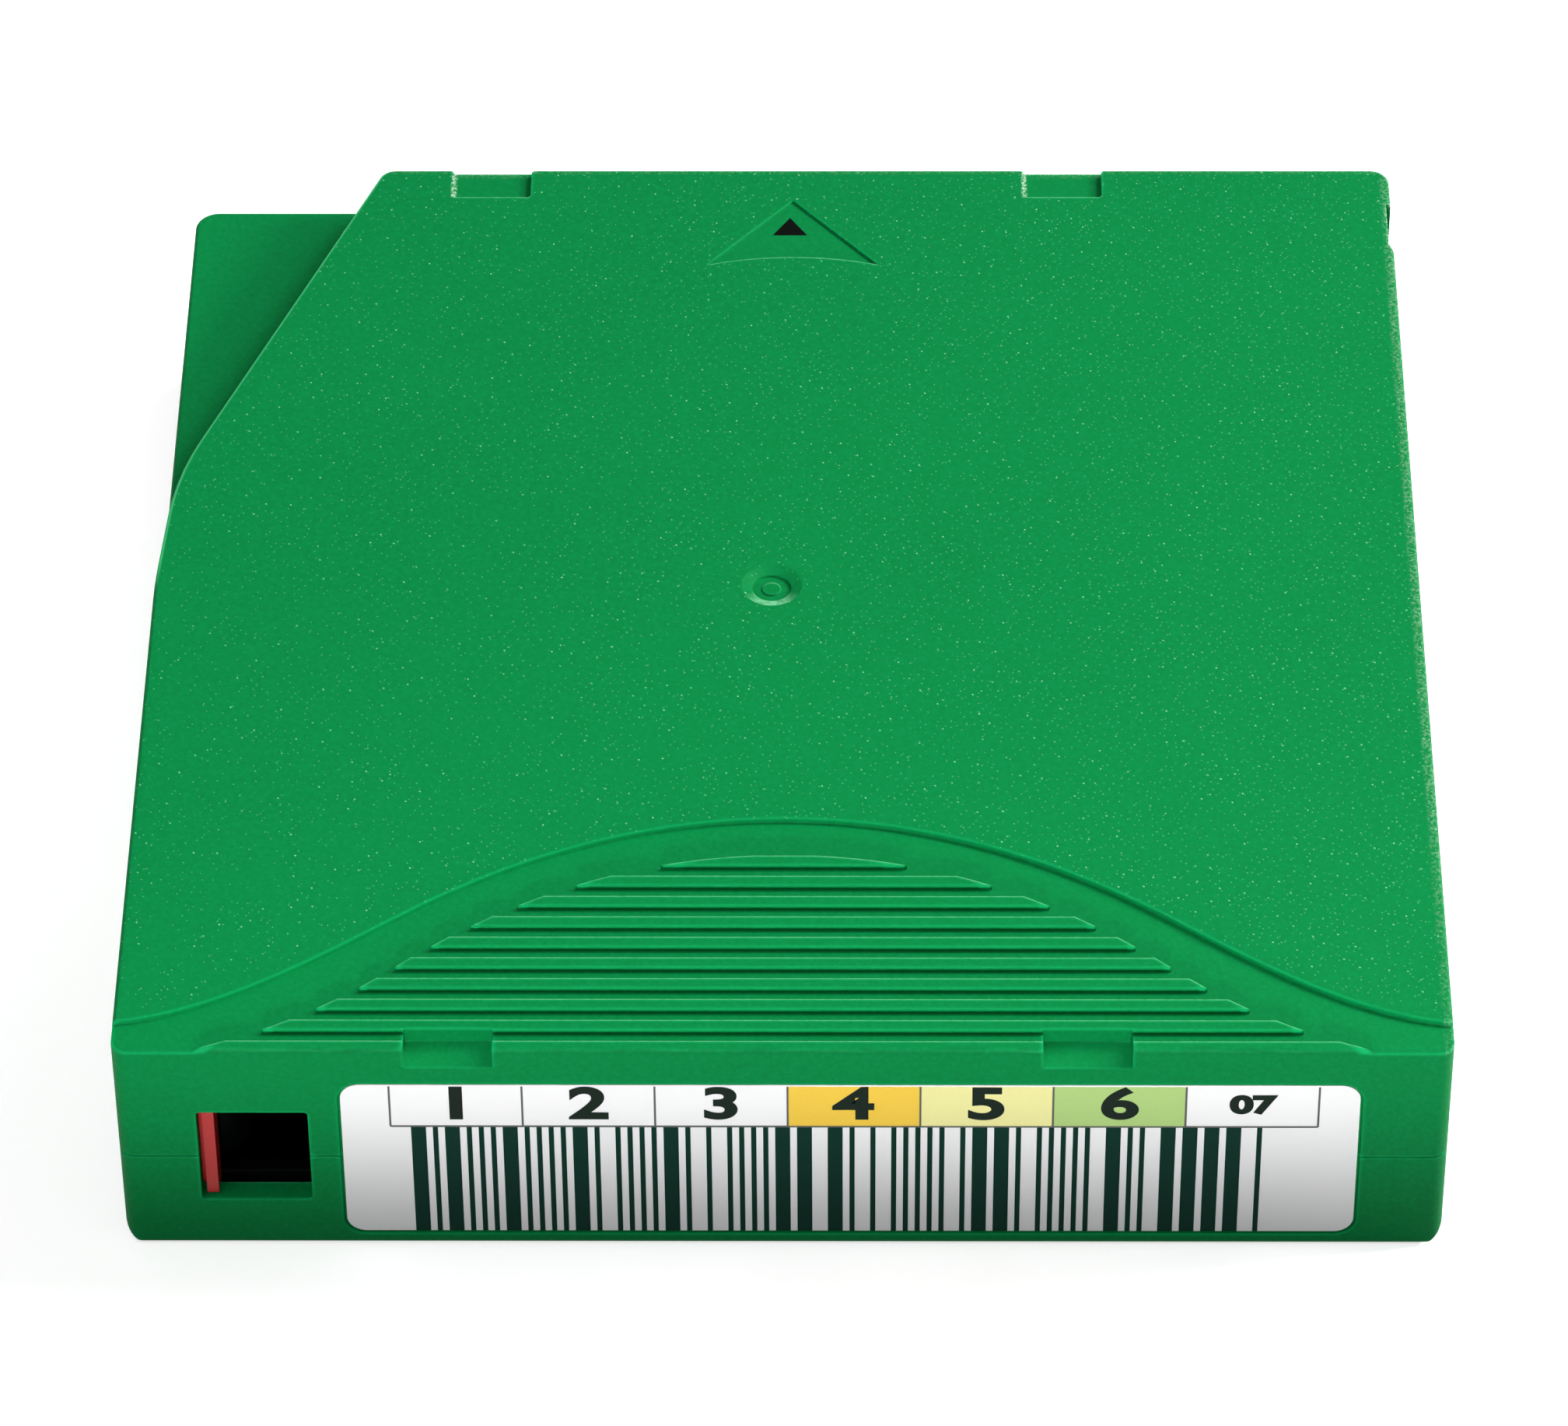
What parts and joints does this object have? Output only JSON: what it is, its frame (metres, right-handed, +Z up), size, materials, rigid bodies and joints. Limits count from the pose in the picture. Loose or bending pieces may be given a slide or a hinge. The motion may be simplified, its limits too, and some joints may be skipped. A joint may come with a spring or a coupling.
{
  "type": "data tape cartridge",
  "caption": "Flat square tape cartridge with a reel inside, a sliding door over the leader pin, a grip field, a write-protect slider and a barcode label.",
  "frame": {"origin": "middle of the bottom face, on the surface that the cartridge lies on", "axes": "+Z up through the top face; +Y along the depth, towards the edge that enters the drive first; -Y out of the label face; +X to the right for someone who reads the label, -X out of the side with the pin door"},
  "size_m": [0.102, 0.1054, 0.0215],
  "materials": {
    "case_top": "fine-grained moulded green plastic, smoother in the grip field",
    "case_bottom": "fine-grained moulded green plastic",
    "screw": "zinc-plated steel",
    "label": "white satin label film with colour fields and bars",
    "slider": "red moulded plastic",
    "board": "thin laminate board",
    "chip": "black resin drop",
    "door": "dark grey moulded plastic",
    "fine_spring": "drawn spring wire",
    "pin": "turned steel",
    "clip": "black moulded plastic",
    "leaf": "bent spring strip",
    "leader": "smooth coated film",
    "tape": "edges of tightly wound coated film",
    "hub": "off-white moulded plastic",
    "flange": "off-white moulded plastic",
    "clutch": "pressed steel",
    "brake": "white low-friction plastic",
    "coil": "drawn spring wire",
    "release": "grey low-friction plastic"
  },
  "bodies": {
    "case": {"lower_shell": "case_bottom", "upper_shell": "case_top", "case_screws": "screw", "barcode_label": "label", "memory_board": "board", "memory_chip": "chip", "leader_pin": "pin", "pin_clip": "clip", "pin_spring": "leaf", "leader_tape": "leader", "door_spring": "fine_spring", "brake_spring": "coil"},
    "reel": {"reel_hub": "hub", "upper_flange": "flange", "tape_pack": "tape", "clutch_plate": "clutch"},
    "brake": {"brake_button": "brake"},
    "release": {"release_spider": "release"},
    "door": {"access_door": "door"},
    "slider": {"write_protect_slider": "slider"}
  },
  "joints": [
    {"name": "reel_spin", "type": "hinge", "parent": "case", "child": "reel", "pos_m": [-0.0012, -0.00025, 0.0085], "axis": [0, 0, 1], "continuous": true},
    {"name": "brake_lift", "type": "slide", "parent": "case", "child": "brake", "axis": [0, 0, 1], "range_m": [0, 0.0016], "stiffness_N_per_m": 800, "springref_m": -0.004, "deforming": ["brake_spring"]},
    {"name": "release_lift", "type": "slide", "parent": "reel", "child": "release", "axis": [0, 0, 1], "range_m": [0, 0.0016]},
    {"name": "door_slide", "type": "slide", "parent": "case", "child": "door", "axis": [0, -1, 0], "range_m": [0, 0.018], "stiffness_N_per_m": 20, "springref_m": -0.02, "deforming": ["door_spring"]},
    {"name": "write_protect", "type": "slide", "parent": "case", "child": "slider", "axis": [1, 0, 0], "range_m": [0, 0.0069]}
  ],
  "couplings": [
    {"joint": "release_lift", "follows": "brake_lift", "ratio": 1}
  ]
}
